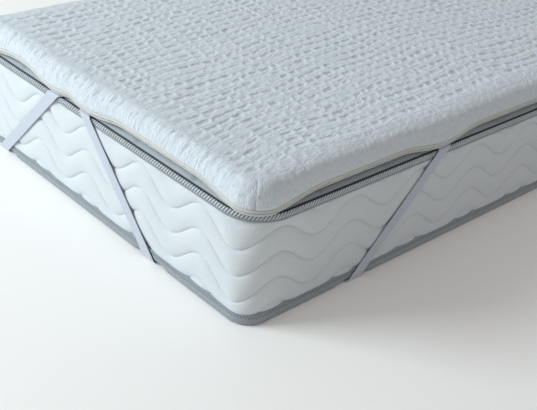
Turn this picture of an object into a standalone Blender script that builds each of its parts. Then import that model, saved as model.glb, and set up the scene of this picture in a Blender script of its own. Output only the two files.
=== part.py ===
"""Mattress topper held on a single mattress by four elastic corner straps.

The topper is a filled foam pad in a crinkled cover. A zip with two cream tapes runs right round its side, near
the lower edge. The straps pull that edge down onto the mattress, and it lifts a little in between. X runs
across the bed, Y along it (foot at -Y) and Z up. The mattress stands on z = 0, its middle over the origin.
"""

import math
from collections import namedtuple

import bmesh
import bpy
from mathutils import Matrix, Vector

# Driving dimensions, in metres
WIDTH = 0.900  # mattress over its edge tapes, across X
LENGTH = 2.000  # mattress over its edge tapes, along Y
GAP = 0.0003  # between pieces that touch
BOTTOM_CORNER = 0.045  # corner radius of the mattress seen from above, at the floor
TOP_CORNER = 0.080  # and at the top

TAPE_TOP = 0.2170  # height of the upper edge tape's top
UPPER_TAPE = 0.0170  # how tall the upper edge tape is
LOWER_TAPE = 0.0226  # and the lower one
TAPE_DEPTH = 0.0084  # how far the mattress steps in behind an edge tape
PANEL_TOP = 0.2210  # highest level of the mattress, under the topper
PANEL_CHAMFER = 0.0030  # softened lower rim of the bottom panel

WAVES = (5, 11)  # quilted waves along a short and along a long side
WAVE_HEIGHT = 0.023  # from the wave's middle to its crest
WAVE_START = 0.19  # part of a wave already past at each corner's middle
WAVE_STEPS = 8  # columns in one wave

PAD_CORNER = 0.052  # corner radius of the topper seen from above
PAD_EDGE = 0.2825  # height where the topper's side turns into its top
PAD_CROWN = 0.0065  # rise from there to the middle
PAD_INSET = 0.0020  # topper's side, in from the mattress's outer line, where it hangs free
PAD_PROUD = 0.0035  # and out from that line, where a strap or a corner pulls it
SEAM_DEPTH = 0.0018  # drawn-in corner seam
EDGE_DIP = 0.0025  # how far a pull lowers the top edge
ARC_STEPS = 4  # facets of half a rounded corner
FILL_STEP = 0.090  # longest facet along a straight side

ZIP_HIGH = 0.2385  # middle of the zip where the edge hangs free
ZIP_LOW = 0.2264  # and where it is pulled down
ZIP_HALF = 0.0068  # half the height of the zip's two tapes together
ZIP_RECESS = 0.0028  # depth of the seat that the tapes lie in
ZIP_THICK = 0.0020
ZIP_SLIT = 0.0012  # between the two tapes, where the teeth close
STRAP_PULL = 0.12  # reach of the pull along the edge, either side of a strap
CORNER_PULL = 0.14  # and either side of a corner

STRAP_WIDTH = 0.025
STRAP_THICK = 0.0012
STRAP_BEND = 0.0052  # radius of the strap's middle where it turns over an edge tape
STRAP_OUT = 0.0020  # strap's middle stands out from the mattress's outer line
STRAP_FLOOR = 0.0010  # height of the strap's middle under the mattress
STRAP_TUCK = 0.0120  # how far the sewn end reaches in under the topper
STRAP_BEND_STEPS = 5
GROOVE_DEPTH = 0.0022  # the strap lies pressed into the mattress's underside
GROOVE_SPARE = 0.0040

# Corner c joins side c to side c + 1. Reach is where a strap is sewn to the topper, from that corner.
Corner = namedtuple("Corner", "name reach")
CORNERS = (
    Corner("foot_right", 0.482),
    Corner("head_right", 0.300),
    Corner("head_left", 0.482),
    Corner("foot_left", 0.300),
)

# Sides go round anticlockwise seen from above: foot, right, head, left
Side = namedtuple("Side", "run out half across waves")
SIDES = (
    Side(Vector((1, 0)), Vector((0, -1)), WIDTH / 2, LENGTH / 2, WAVES[0]),
    Side(Vector((0, 1)), Vector((1, 0)), LENGTH / 2, WIDTH / 2, WAVES[1]),
    Side(Vector((-1, 0)), Vector((0, 1)), WIDTH / 2, LENGTH / 2, WAVES[0]),
    Side(Vector((0, -1)), Vector((-1, 0)), LENGTH / 2, WIDTH / 2, WAVES[1]),
)

# Rows of the quilted border, bottom to top: the low rows are the stitched waves, the others the puffs between
BorderRow = namedtuple("BorderRow", "height inset sway")
BORDER_FOOT = LOWER_TAPE + GAP
BORDER_HEAD = TAPE_TOP - UPPER_TAPE - GAP
BORDER_ROWS = (
    BorderRow(BORDER_FOOT, 0.0025, 0.00),
    BorderRow(0.0400, 0.0008, 0.45),
    BorderRow(0.0620, 0.0045, 1.00),
    BorderRow(0.0875, 0.0005, 1.00),
    BorderRow(0.1130, 0.0045, 1.00),
    BorderRow(0.1385, 0.0005, 1.00),
    BorderRow(0.1640, 0.0045, 1.00),
    BorderRow(0.1800, 0.0010, 0.45),
    BorderRow(BORDER_HEAD, 0.0025, 0.00),
)

# Rows of the top panel, from the step behind the upper tape inward
PanelRow = namedtuple("PanelRow", "inset height")
PANEL_ROWS = (
    PanelRow(TAPE_DEPTH, BORDER_HEAD),
    PanelRow(TAPE_DEPTH, 0.2125),
    PanelRow(0.0125, 0.2140),
    PanelRow(0.0240, 0.2178),
    PanelRow(0.0450, 0.2202),
    PanelRow(0.0900, PANEL_TOP),
)

# Section of an edge tape, from its inner edge at the outer face of the mattress round to the border. Share is
# the height as a part of the tape's own. The nipped columns hold where a strap presses it.
TapePoint = namedtuple("TapePoint", "inset share nipped_inset nipped_share")
TAPE_SECTION = (
    TapePoint(0.0078, 0.03, 0.0078, 0.13),
    TapePoint(0.0035, 0.03, 0.0052, 0.13),
    TapePoint(0.0008, 0.16, 0.0026, 0.25),
    TapePoint(0.0000, 0.38, 0.0014, 0.42),
    TapePoint(0.0006, 0.71, 0.0010, 0.71),
    TapePoint(0.0030, 0.97, 0.0030, 0.97),
    TapePoint(0.0078, 1.00, 0.0078, 1.00),
)
TAPE_NIP = 0.036  # half the length of tape that a strap presses
TAPE_NIP_FADE = 0.018

# A place on the outline: its side, its share of the way between two corners' middles, its pull or nip, and
# whether it is a corner's middle
Station = namedtuple("Station", "side share grip seam")


def clear_scene():
    for thing in list(bpy.data.objects):
        bpy.data.objects.remove(thing, do_unlink=True)


def finish(name, metallic, roughness, colour):
    material = bpy.data.materials.new(name)
    material.use_nodes = True
    shader = material.node_tree.nodes["Principled BSDF"]
    shader.inputs["Base Color"].default_value = (*colour, 1.0)
    shader.inputs["Roughness"].default_value = roughness
    shader.inputs["Metallic"].default_value = metallic
    return material


def add_object(name, bm, material):
    """Turn a bmesh into a named object, its faces out and its soft edges shaded smooth."""
    bmesh.ops.recalc_face_normals(bm, faces=bm.faces)
    bmesh.ops.triangulate(bm, faces=bm.faces)
    mesh = bpy.data.meshes.new(name)
    bm.to_mesh(mesh)
    bm.free()
    mesh.shade_smooth()
    mesh.set_sharp_from_angle(angle=math.radians(50))
    mesh.materials.append(material)
    made = bpy.data.objects.new(name, mesh)
    bpy.context.scene.collection.objects.link(made)
    return made


def mix(low, high, share):
    return low + (high - low) * share


def bump(distance, reach):
    """1 at no distance, falling smoothly to 0 at the reach."""
    return 0.5 + 0.5 * math.cos(math.pi * min(1.0, abs(distance) / reach))


def run_length(side, radius):
    """Length of a side from one corner's middle to the next, with its corners rounded."""
    return 2 * SIDES[side].half - 2 * radius + radius * math.pi / 2


def rim_point(side, share, radius, inset):
    """Point on the rounded outline at a share of the run between two corners' middles, moved inward."""
    run, out, half, across, _ = SIDES[side]
    arc = radius * math.pi / 4
    length = run_length(side, radius)
    travelled = share * length
    centre = min(max(travelled - arc, 0.0), 2 * (half - radius)) - (half - radius)
    turn = (min(travelled - arc, 0.0) + max(travelled - length + arc, 0.0)) / radius
    normal = out * math.cos(turn) + run * math.sin(turn)
    return run * centre + out * (across - radius) + normal * (radius - inset)


def share_at(side, place, radius):
    """Share of the run at a place measured along a straight side from its starting corner."""
    return (place - radius + radius * math.pi / 4) / run_length(side, radius)


def strap_places(side):
    """Where straps are sewn along a side, measured from its starting corner."""
    start = CORNERS[side - 1].reach
    end = 2 * SIDES[side].half - CORNERS[side].reach
    return start, end


def spread(places, step):
    """Add even places between those given wherever they lie further apart than the step."""
    places = sorted(places)
    filled = [places[0]]
    for low, high in zip(places, places[1:]):
        count = max(1, math.ceil((high - low) / step - 1e-6))
        filled += [mix(low, high, k / count) for k in range(1, count + 1)]
    return filled


def stations(radius, marks, grip):
    """Stations all round an outline: facets of each corner, the marked places and an even fill between them."""
    found = []
    for side, (_, _, half, _, _) in enumerate(SIDES):
        arc_share = radius * math.pi / 4 / run_length(side, radius)
        shares = [arc_share * k / ARC_STEPS for k in range(ARC_STEPS)]
        places = spread([radius, 2 * half - radius] + marks(side), FILL_STEP)
        shares += [share_at(side, place, radius) for place in places]
        shares += [1 - arc_share * k / ARC_STEPS for k in range(ARC_STEPS - 1, 0, -1)]
        for share in shares:
            place = (share * run_length(side, radius)) - radius * math.pi / 4 + radius
            found.append(Station(side, share, grip(side, place), share == 0))
    return found


def pad_marks(side):
    return [place + step for place in strap_places(side) for step in (-0.11, -0.06, -0.02, 0.02, 0.06, 0.11)]


def pad_pull(side, place):
    """How hard straps and corners pull the topper's edge down here, 0 to 1."""
    end = 2 * SIDES[side].half
    from_corner = max(0.0, min(place, end - place) - PAD_CORNER / 2)
    pulls = [bump(place - sewn, STRAP_PULL) for sewn in strap_places(side)]
    return max(pulls + [bump(from_corner, CORNER_PULL)])


def strap_heights():
    """Heights of the two ends of a strap's straight run down the side of the mattress."""
    return TAPE_TOP + STRAP_FLOOR - STRAP_BEND, STRAP_FLOOR + STRAP_BEND


def fold_place(reach):
    """Distance from the corner at which a strap turns under the mattress, at 45 degrees from its sewn end."""
    upper, lower = strap_heights()
    return reach - (upper - lower) - STRAP_BEND * math.pi / 4


def fold_places(side):
    """Where straps turn under the mattress along a side, measured from its starting corner."""
    start = fold_place(CORNERS[side - 1].reach)
    end = 2 * SIDES[side].half - fold_place(CORNERS[side].reach)
    return start, end


def ring(bm, places, put):
    """A closed row of points, one for each place."""
    return [bm.verts.new(put(place)) for place in places]


def skin(bm, lower, upper):
    """Faces between two rows; the upper one has as many points as the lower or a whole part of them."""
    ratio = len(lower) // len(upper)
    for k, corner in enumerate(upper):
        following = upper[(k + 1) % len(upper)]
        for j in range(ratio - 1):
            bm.faces.new((lower[k * ratio + j], lower[k * ratio + j + 1], corner))
        last = lower[k * ratio + ratio - 1]
        bm.faces.new((last, lower[(k * ratio + ratio) % len(lower)], following, corner))


def loft(bm, rows):
    for lower, upper in zip(rows, rows[1:]):
        skin(bm, lower, upper)


def deep_point(station, radius, inset):
    """Point far inside the outline, where the corners' facets would cross: a smaller copy of the outline."""
    shallow = radius * 0.6
    point = rim_point(station.side, station.share, radius, shallow)
    across = (WIDTH / 2 - inset) / (WIDTH / 2 - shallow)
    along = (LENGTH / 2 - inset) / (LENGTH / 2 - shallow)
    return Vector((point.x * across, point.y * along))


def pad_inset(station):
    """How far the topper's side lies in from the mattress's outer line."""
    return mix(PAD_INSET, -PAD_PROUD, station.grip)


def zip_middle(station):
    return mix(ZIP_HIGH, ZIP_LOW, station.grip)


def topper_pad(material):
    """Filled pad: flat on the mattress, rounded up to the zip, full sides and a crowned top."""
    places = stations(PAD_CORNER, pad_marks, pad_pull)
    under = PANEL_TOP + GAP

    def side_row(depth, height, seam=0.0):
        def put(station):
            inset = pad_inset(station) + depth + seam * station.seam
            point = rim_point(station.side, station.share, PAD_CORNER, inset)
            return point.x, point.y, height(station)
        return put

    def deep_row(inset, height):
        def put(station):
            point = deep_point(station, PAD_CORNER, inset)
            return point.x, point.y, height(station)
        return put

    def zip_foot(station):
        return zip_middle(station) - ZIP_HALF

    def zip_head(station):
        return zip_middle(station) + ZIP_HALF

    def edge(station):
        return PAD_EDGE - EDGE_DIP * station.grip

    bm = bmesh.new()
    rows = [ring(bm, places, put) for put in (
        deep_row(0.120, lambda s: under),
        deep_row(0.060, lambda s: under),
        side_row(0.028, lambda s: mix(under, zip_foot(s), 0.12)),
        side_row(0.013, lambda s: mix(under, zip_foot(s), 0.45)),
        side_row(0.0048, lambda s: zip_foot(s) - GAP),
        side_row(ZIP_RECESS, zip_foot),
        side_row(ZIP_RECESS, zip_head),
        side_row(0.0004, lambda s: zip_head(s) + 0.0014, SEAM_DEPTH),
        side_row(-0.0010, lambda s: mix(zip_head(s), edge(s), 0.27), SEAM_DEPTH),
        side_row(0.0028, lambda s: edge(s) - 0.0140, SEAM_DEPTH),
        side_row(0.0120, lambda s: edge(s) - 0.0045),
        side_row(0.0270, lambda s: edge(s) - 0.0002),
        deep_row(0.065, lambda s: PAD_EDGE + 0.3 * PAD_CROWN - 0.4 * EDGE_DIP * s.grip),
        deep_row(0.140, lambda s: PAD_EDGE + 0.6 * PAD_CROWN),
        deep_row(0.260, lambda s: PAD_EDGE + 0.9 * PAD_CROWN),
        deep_row(0.360, lambda s: PAD_EDGE + PAD_CROWN),
    )]
    loft(bm, rows)
    bm.faces.new(rows[0])
    bm.faces.new(rows[-1])
    return add_object("topper_pad", bm, material)


def zip_tape(name, low, high, material):
    """One tape of the zip, a flat band round the whole pad between two heights from the zip's middle."""
    places = stations(PAD_CORNER, pad_marks, pad_pull)
    back = ZIP_RECESS - GAP
    section = ((back, low), (back - ZIP_THICK, low), (back - ZIP_THICK, high), (back, high))

    def row(depth, height):
        def put(station):
            point = rim_point(station.side, station.share, PAD_CORNER, pad_inset(station) + depth)
            return point.x, point.y, zip_middle(station) + height
        return put

    bm = bmesh.new()
    rows = [ring(bm, places, row(depth, height)) for depth, height in section]
    loft(bm, rows + rows[:1])
    return add_object(name, bm, material)


def edge_tape(name, radius, crossings, face, inner, material):
    """Rolled tape sewn round one edge of the mattress, between its outer face and its inner line at a height.

    Crossings gives the places along a side where straps press the tape.
    """
    def marks(side):
        steps = (-TAPE_NIP - TAPE_NIP_FADE, -TAPE_NIP, TAPE_NIP, TAPE_NIP + TAPE_NIP_FADE)
        return [crossing + step for crossing in crossings(side) for step in steps]

    def nip(side, place):
        nearest = min(abs(place - crossing) for crossing in crossings(side))
        return min(1.0, max(0.0, (TAPE_NIP - nearest) / TAPE_NIP_FADE + 1.0))

    places = stations(radius, marks, nip)

    def row(point):
        def put(station):
            inset = mix(point.inset, point.nipped_inset, station.grip)
            share = mix(point.share, point.nipped_share, station.grip)
            spot = rim_point(station.side, station.share, radius, inset)
            return spot.x, spot.y, mix(face, inner, share)
        return put

    bm = bmesh.new()
    rows = [ring(bm, places, row(point)) for point in TAPE_SECTION]
    loft(bm, rows + rows[:1])
    return add_object(name, bm, material)


def mattress_body(material):
    """Mattress with a wave-quilted border, stepped in behind its edge tapes, and grooves where straps press."""
    def columns(steps):
        return [
            (side, k / (wave_count * steps), math.cos(2 * math.pi * (k / steps + WAVE_START)))
            for side, (*_, wave_count) in enumerate(SIDES)
            for k in range(wave_count * steps)
        ]

    def row(inset, height, sway):
        def put(column):
            side, share, wave = column
            level = height - WAVE_HEIGHT * sway * wave
            climb = (level - BORDER_FOOT) / (BORDER_HEAD - BORDER_FOOT)
            radius = mix(BOTTOM_CORNER, TOP_CORNER, min(1.0, max(0.0, climb)))
            spot = rim_point(side, share, radius, inset)
            return spot.x, spot.y, level
        return put

    fine = columns(WAVE_STEPS)
    coarse = columns(WAVE_STEPS // 2)
    bm = bmesh.new()
    foot = [ring(bm, coarse, row(inset, height, 0.0)) for inset, height in (
        (TAPE_DEPTH + PANEL_CHAMFER, 0.0),
        (TAPE_DEPTH, PANEL_CHAMFER),
        (TAPE_DEPTH, BORDER_FOOT),
    )]
    border = [ring(bm, fine, row(r.inset, r.height, r.sway)) for r in BORDER_ROWS]
    panel = [ring(bm, coarse, row(r.inset, r.height, 0.0)) for r in PANEL_ROWS]
    loft(bm, foot)
    skin(bm, border[0], foot[-1])
    loft(bm, border)
    skin(bm, border[-1], panel[0])
    loft(bm, panel)
    bm.faces.new(foot[0])
    bm.faces.new(panel[-1])
    body = add_object("mattress_body", bm, material)
    for corner in range(len(CORNERS)):
        press_groove(body, corner)
    return body


def corner_frame(corner):
    """Origin at a corner of the outline, X back along the side before it and Y along the side after it."""
    before = SIDES[corner]
    after = SIDES[(corner + 1) % len(SIDES)]
    place = before.run * before.half + before.out * before.across
    frame = Matrix.Identity(4)
    frame.col[0] = (*-before.run, 0, 0)
    frame.col[1] = (*after.run, 0, 0)
    frame.col[3] = (*place, 0, 1)
    return frame


def press_groove(body, corner):
    """Cut the shallow groove in which a strap crosses the mattress's underside, corner-wise."""
    crossing = fold_place(CORNERS[corner].reach) + STRAP_BEND * (1 - math.pi / 4) - STRAP_OUT
    cutter_bm = bmesh.new()
    bmesh.ops.create_cube(cutter_bm, size=1.0)
    size = Matrix.Diagonal((3 * crossing, STRAP_WIDTH + GROOVE_SPARE, 2 * GROOVE_DEPTH, 1.0))
    turned = Matrix.Rotation(-math.pi / 4, 4, "Z") @ size
    middle = Matrix.Translation((crossing / 2, crossing / 2, 0))
    bmesh.ops.transform(cutter_bm, matrix=corner_frame(corner) @ middle @ turned, verts=cutter_bm.verts)
    cutter = add_object("groove_cutter_" + CORNERS[corner].name, cutter_bm, body.data.materials[0])
    cutter.hide_render = True
    cutter.display_type = "WIRE"
    cut = body.modifiers.new("groove_" + CORNERS[corner].name, "BOOLEAN")
    cut.operation = "DIFFERENCE"
    cut.object = cutter


def strap_path():
    """Strap's middle on one side as (inset, height, travel), from its sewn end down and under the edge.

    Travel is the length along the strap's face at right angles to the mattress's edge, 0 at the top tape.
    """
    upper, lower = strap_heights()
    inner = STRAP_BEND - STRAP_OUT
    turn = STRAP_BEND * math.pi / 2
    angles = [math.pi / 2 * k / STRAP_BEND_STEPS for k in range(STRAP_BEND_STEPS + 1)]
    path = [(STRAP_TUCK, upper + STRAP_BEND, inner - STRAP_TUCK - turn)]
    for angle in angles:
        inset = inner - STRAP_BEND * math.sin(angle)
        path.append((inset, upper + STRAP_BEND * math.cos(angle), STRAP_BEND * angle - turn))
    for angle in angles:
        inset = inner - STRAP_BEND * math.cos(angle)
        path.append((inset, lower - STRAP_BEND * math.sin(angle), upper - lower + STRAP_BEND * angle))
    return path


def strap(corner, material):
    """Elastic band from the topper's edge, down one side at 45 degrees, under the corner and up the next."""
    path = strap_path()
    half = STRAP_WIDTH / math.sqrt(2)
    frame = corner_frame(corner)

    def section(index, flip):
        inset, height, travel = path[index]
        before = path[max(index - 1, 0)]
        after = path[min(index + 1, len(path) - 1)]
        tangent = Vector((after[0] - before[0], after[1] - before[1])).normalized()
        normal = Vector((tangent.y, -tangent.x)) * (STRAP_THICK / 2)
        along = CORNERS[corner].reach - travel
        corners = []
        for away, shift in ((1, -half), (1, half), (-1, half), (-1, -half)):
            spot = (along + shift, inset + normal.x * away)
            spot = spot[::-1] if flip else spot
            corners.append(frame @ Vector((*spot, height + normal.y * away)))
        return corners

    sections = [section(k, False) for k in range(len(path))]
    sections += [section(k, True) for k in reversed(range(len(path)))]
    bm = bmesh.new()
    rows = [[bm.verts.new(point) for point in points] for points in sections]
    loft(bm, rows)
    bm.faces.new(rows[0])
    bm.faces.new(rows[-1])
    return add_object("strap_" + CORNERS[corner].name, bm, material)


def main():
    clear_scene()
    cover = finish("crinkled_cover", 0.0, 0.90, (0.82, 0.85, 0.88))
    cream = finish("cream_tape", 0.0, 0.80, (0.80, 0.78, 0.70))
    elastic = finish("white_elastic", 0.0, 0.65, (0.76, 0.78, 0.86))
    ticking = finish("quilted_ticking", 0.0, 0.85, (0.84, 0.88, 0.90))
    grey = finish("grey_edge_tape", 0.0, 0.75, (0.42, 0.45, 0.50))
    mattress_body(ticking)
    edge_tape("edge_tape_bottom", BOTTOM_CORNER, fold_places, 0.0, LOWER_TAPE, grey)
    edge_tape("edge_tape_top", TOP_CORNER, strap_places, TAPE_TOP, TAPE_TOP - UPPER_TAPE, grey)
    topper_pad(cover)
    slit = ZIP_SLIT / 2
    zip_tape("zip_tape_upper", slit, ZIP_HALF - GAP, cream)
    zip_tape("zip_tape_lower", GAP - ZIP_HALF, -slit, cream)
    for corner in range(len(CORNERS)):
        strap(corner, elastic)


main()
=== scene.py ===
"""Looks of a mattress topper held on a single mattress by four elastic corner straps.

Crinkled cover, cream zip, elastic straps, wave-quilted ticking and woven edge tapes are laid over the solids.
X runs across the bed, Y along it (foot at -Y), Z up; sizes are in metres.
"""

import math
from collections import namedtuple

import bpy
import numpy as np
from mathutils import Matrix, Vector


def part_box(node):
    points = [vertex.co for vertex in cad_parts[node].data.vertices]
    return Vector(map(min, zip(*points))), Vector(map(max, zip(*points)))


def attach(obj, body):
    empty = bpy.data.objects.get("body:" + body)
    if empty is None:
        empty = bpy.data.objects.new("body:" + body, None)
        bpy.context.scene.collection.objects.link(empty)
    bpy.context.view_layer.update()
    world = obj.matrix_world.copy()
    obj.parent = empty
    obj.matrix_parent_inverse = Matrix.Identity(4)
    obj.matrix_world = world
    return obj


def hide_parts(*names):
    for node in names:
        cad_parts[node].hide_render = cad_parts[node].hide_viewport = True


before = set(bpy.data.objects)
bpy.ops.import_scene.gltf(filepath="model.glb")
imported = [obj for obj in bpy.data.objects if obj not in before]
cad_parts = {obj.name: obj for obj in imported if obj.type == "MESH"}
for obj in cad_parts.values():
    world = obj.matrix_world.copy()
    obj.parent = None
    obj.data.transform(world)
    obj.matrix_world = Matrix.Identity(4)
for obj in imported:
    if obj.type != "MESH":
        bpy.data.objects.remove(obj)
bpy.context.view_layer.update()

# Sizes read from the solids
TAPE_LOW, TAPE_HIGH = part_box("edge_tape_top")
WIDTH, LENGTH, TAPE_TOP = 2 * TAPE_HIGH.x, 2 * TAPE_HIGH.y, TAPE_HIGH.z
UPPER_TAPE = TAPE_TOP - TAPE_LOW.z
LOWER_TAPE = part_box("edge_tape_bottom")[1].z
PANEL_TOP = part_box("mattress_body")[1].z
PAD_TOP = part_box("topper_pad")[1].z

# Sizes shared with the solids
GAP = 0.0003
BOTTOM_CORNER = 0.045  # corner radius of the mattress seen from above, at the floor
TOP_CORNER = 0.080  # and at the top
TAPE_DEPTH = 0.0084  # how far the mattress steps in behind an edge tape
WAVES = (5, 11)  # quilted waves along a short and along a long side
WAVE_HEIGHT = 0.023
WAVE_START = 0.19  # part of a wave already past at each corner's middle
PAD_CORNER = 0.052
PAD_CROWN = 0.0065
PAD_EDGE = PAD_TOP - PAD_CROWN
PAD_INSET = 0.0020  # topper's side, in from the mattress's outer line, where it hangs free
PAD_PROUD = 0.0035  # and out from that line, where a strap or a corner pulls it
EDGE_DIP = 0.0025
ZIP_HIGH = 0.2385  # middle of the zip where the cover hangs free
ZIP_LOW = 0.2264  # and where it is pulled down
ZIP_HALF = 0.0068
STRAP_PULL = 0.12
CORNER_PULL = 0.14
STRAP_WIDTH = 0.025
STRAP_THICK = 0.0012
STRAP_BEND = 0.0052
STRAP_OUT = 0.0020
STRAP_FLOOR = 0.0010
STRAP_TUCK = 0.0120
STRAP_HEAD = TAPE_TOP + STRAP_FLOOR - STRAP_BEND  # the strap runs straight from here
STRAP_FOOT = STRAP_FLOOR + STRAP_BEND  # down to here
GROOVE_DEPTH = 0.0022

# Corner c joins side c to side c + 1; its strap is sewn to the topper at its reach from the corner
CORNERS = ("foot_right", "head_right", "head_left", "foot_left")
REACHES = np.array((0.482, 0.300, 0.482, 0.300))

# Sides go round anticlockwise seen from above: foot, right, head, left
RUN = np.array(((1, 0), (0, 1), (-1, 0), (0, -1)), float)
OUT = np.roll(RUN, 1, axis=0)
HALF = np.array((WIDTH, LENGTH, WIDTH, LENGTH)) / 2
ACROSS = np.array((LENGTH, WIDTH, LENGTH, WIDTH)) / 2
SIDE_WAVES = np.array(WAVES + WAVES)


# ---- small helpers ----

def mix(low, high, share):
    return low + (high - low) * share


def ease(share):
    """0 to 1 with level ends."""
    share = np.clip(share, 0.0, 1.0)
    return share * share * (3 - 2 * share)


def bump(distance, reach):
    """1 at no distance, falling smoothly to 0 at the reach."""
    return 0.5 + 0.5 * np.cos(math.pi * np.minimum(1.0, np.abs(distance) / reach))


def bell(distance, reach):
    return np.exp(-(distance / reach) ** 2)


def fading(distance, reach):
    """1 up to no distance, then dying away."""
    return np.exp(-np.maximum(distance, 0) / reach)


def unit(vectors):
    return vectors / np.maximum(np.linalg.norm(vectors, axis=-1, keepdims=True), 1e-12)


def paired(first, second):
    return np.stack(np.broadcast_arrays(first, second), axis=-1)


def raised(flat, level):
    return np.concatenate((flat, level[..., None]), axis=-1)


def noise(x, y, seed):
    """Smooth random field from -1 to 1 with lumps one unit across, over two coordinates."""
    size = 512
    table = np.random.default_rng(seed).uniform(-1, 1, (size, size))
    x, y = np.broadcast_arrays(x, y)
    column, row = np.floor(x).astype(int), np.floor(y).astype(int)
    right, up = ease(x - column), ease(y - row)
    column, beside, row, above = (number % size for number in (column, column + 1, row, row + 1))
    low = mix(table[column, row], table[beside, row], right)
    high = mix(table[column, above], table[beside, above], right)
    return mix(low, high, up)


def travel_down(points):
    """Distance travelled from the first row of points to each."""
    steps = np.linalg.norm(np.diff(points, axis=0, prepend=points[:1]), axis=-1)
    return np.cumsum(steps, axis=0)


def smooth_rows(controls, table):
    """Smooth curve through rows of control points, in as many steps as the table says for each span."""
    ends = [(1, 1)] + [(0, 0)] * (np.ndim(controls) - 1)
    points = np.pad(np.asarray(controls, float), ends, "reflect", reflect_type="odd")
    rows = []
    for k, row in enumerate(table[:-1]):
        before, start, end, after = points[k:k + 4]
        for t in np.arange(row.steps) / row.steps:
            rows.append(start + 0.5 * t * (end - before + t * (
                2 * before - 5 * start + 4 * end - after + t * (3 * (start - end) + after - before))))
    return np.array([*rows, points[-2]])


# ---- outline of the bed ----

def run_length(side, radius):
    """Length of a side from one corner's middle to the next, with its corners rounded."""
    return 2 * HALF[side] - (2 - math.pi / 2) * radius


def rim(side, share, radius, inset):
    """Points on the rounded outline, at shares of the run between two corners' middles."""
    side, share, radius, inset = np.broadcast_arrays(side, share, radius, inset)
    arc = radius * math.pi / 4
    length = run_length(side, radius)
    travelled = share * length
    centre = np.clip(travelled - arc, 0, 2 * (HALF[side] - radius)) - (HALF[side] - radius)
    turn = (np.minimum(travelled - arc, 0) + np.maximum(travelled - length + arc, 0)) / radius
    normal = OUT[side] * np.cos(turn)[..., None] + RUN[side] * np.sin(turn)[..., None]
    middle = RUN[side] * centre[..., None] + OUT[side] * (ACROSS[side] - radius)[..., None]
    return middle + normal * (radius - inset)[..., None]


def rim_far_in(side, share, radius, inset, limit, pinch=0.0):
    """Points set in from the outline; past a limit they close in on the bed's middle and don't cross."""
    flat = rim(side, share, radius, np.minimum(inset, limit) + pinch)
    return flat * (1 - np.maximum(inset - limit, 0)[..., None] / np.array((WIDTH / 2, LENGTH / 2)))


def side_starts(radius):
    """Distance of each side's start round the outline, from the foot-left corner's middle, and the whole."""
    return np.cumsum((0.0, *run_length(np.arange(4), radius)))


def perimeter(radius):
    return float(side_starts(radius)[-1])


def round_trip(distance, radius):
    """Side and share of the run at distances round the outline."""
    starts = side_starts(radius)
    distance = np.mod(distance, starts[-1])
    side = np.clip(np.searchsorted(starts, distance, side="right") - 1, 0, 3)
    return side, (distance - starts[side]) / run_length(side, radius)


def even_stations(count, radius):
    """Evenly spaced distances round the outline, with their sides and shares of the run."""
    distance = np.arange(count) * perimeter(radius) / count
    return distance, *round_trip(distance, radius)


def run_on(side, share, radius):
    """Distance round the outline at a share of a side."""
    return side_starts(radius)[side] + share * run_length(side, radius)


def place_on(side, share, radius):
    """Distance along a straight side from its starting corner."""
    return share * run_length(side, radius) - radius * math.pi / 4 + radius


def from_corner(side, place):
    return np.minimum(place, 2 * HALF[side] - place)


def from_strap(side, place, reaches):
    """Distance along a side from the nearer of its straps, which lie at these distances from the corners."""
    return np.minimum(np.abs(place - reaches[side - 1]), np.abs(place - (2 * HALF[side] - reaches[side])))


def pad_pull(side, place):
    """How hard straps and corners pull the topper's edge down here, 0 to 1."""
    strap = bump(from_strap(side, place, REACHES), STRAP_PULL)
    corner = bump(np.maximum(0, from_corner(side, place) - PAD_CORNER / 2), CORNER_PULL)
    return np.maximum(strap, corner)


def pad_inset(grip):
    return mix(PAD_INSET, -PAD_PROUD, grip)


def zip_middle(grip):
    return mix(ZIP_HIGH, ZIP_LOW, grip)


def rounded(x, y, half_x, half_y, radius):
    """Turn a rectangle's corners into round ones, keeping its rows in order."""
    deep_x = np.abs(x) - (half_x - radius)
    deep_y = np.abs(y) - (half_y - radius)
    inside = (deep_x > 0) & (deep_y > 0)
    far, near = np.maximum(deep_x, deep_y), np.minimum(deep_x, deep_y)
    angle = np.where(inside, near / np.where(inside, far, 1.0), 0.0) * math.pi / 4
    long, short = far * np.cos(angle), far * np.sin(angle)
    new_x = np.where(deep_x >= deep_y, long, short) - deep_x
    new_y = np.where(deep_x >= deep_y, short, long) - deep_y
    return x + np.where(inside, new_x, 0) * np.sign(x), y + np.where(inside, new_y, 0) * np.sign(y)


# ---- meshes ----

def placed(name, data):
    made = bpy.data.objects.new(name, data)
    bpy.context.scene.collection.objects.link(made)
    return made


def new_object(name, points, faces, material, uv=None, painted_shade=None, normals=None, period=None):
    """A smooth mesh; with a period, its flat coordinates run on past it where the mesh closes on itself."""
    mesh = bpy.data.meshes.new(name)
    mesh.from_pydata(points.tolist(), [], faces)
    mesh.shade_smooth()
    if uv is not None:
        flat = uv[np.concatenate(faces)]
        if period is not None:
            counts = np.array([len(face) for face in faces])
            furthest = np.repeat(np.maximum.reduceat(flat[:, 0], np.cumsum(counts) - counts), counts)
            flat[furthest - flat[:, 0] > period / 2, 0] += period
        layer = mesh.uv_layers.new(name="flat")
        layer.data.foreach_set("uv", flat.astype(np.float32).ravel())
    if painted_shade is not None:
        layer = mesh.attributes.new("painted_shade", "FLOAT", "POINT")
        layer.data.foreach_set("value", painted_shade.astype(np.float32).ravel())
    if normals is not None:
        mesh.normals_split_custom_set_from_vertices(normals.tolist())
    mesh.materials.append(material)
    return placed(name, mesh)


def quads(rows, columns, wrap, start=0):
    """Faces of a grid of points stored row by row; wrap joins each row's end to its start."""
    row = np.arange(rows - 1)[:, None] * columns
    column = np.arange(columns if wrap else columns - 1)[None, :]
    after = (column + 1) % columns
    corners = np.stack((row + column, row + after, row + columns + after, row + columns + column), axis=-1)
    return (corners.reshape(-1, 4) + start).tolist()


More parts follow.
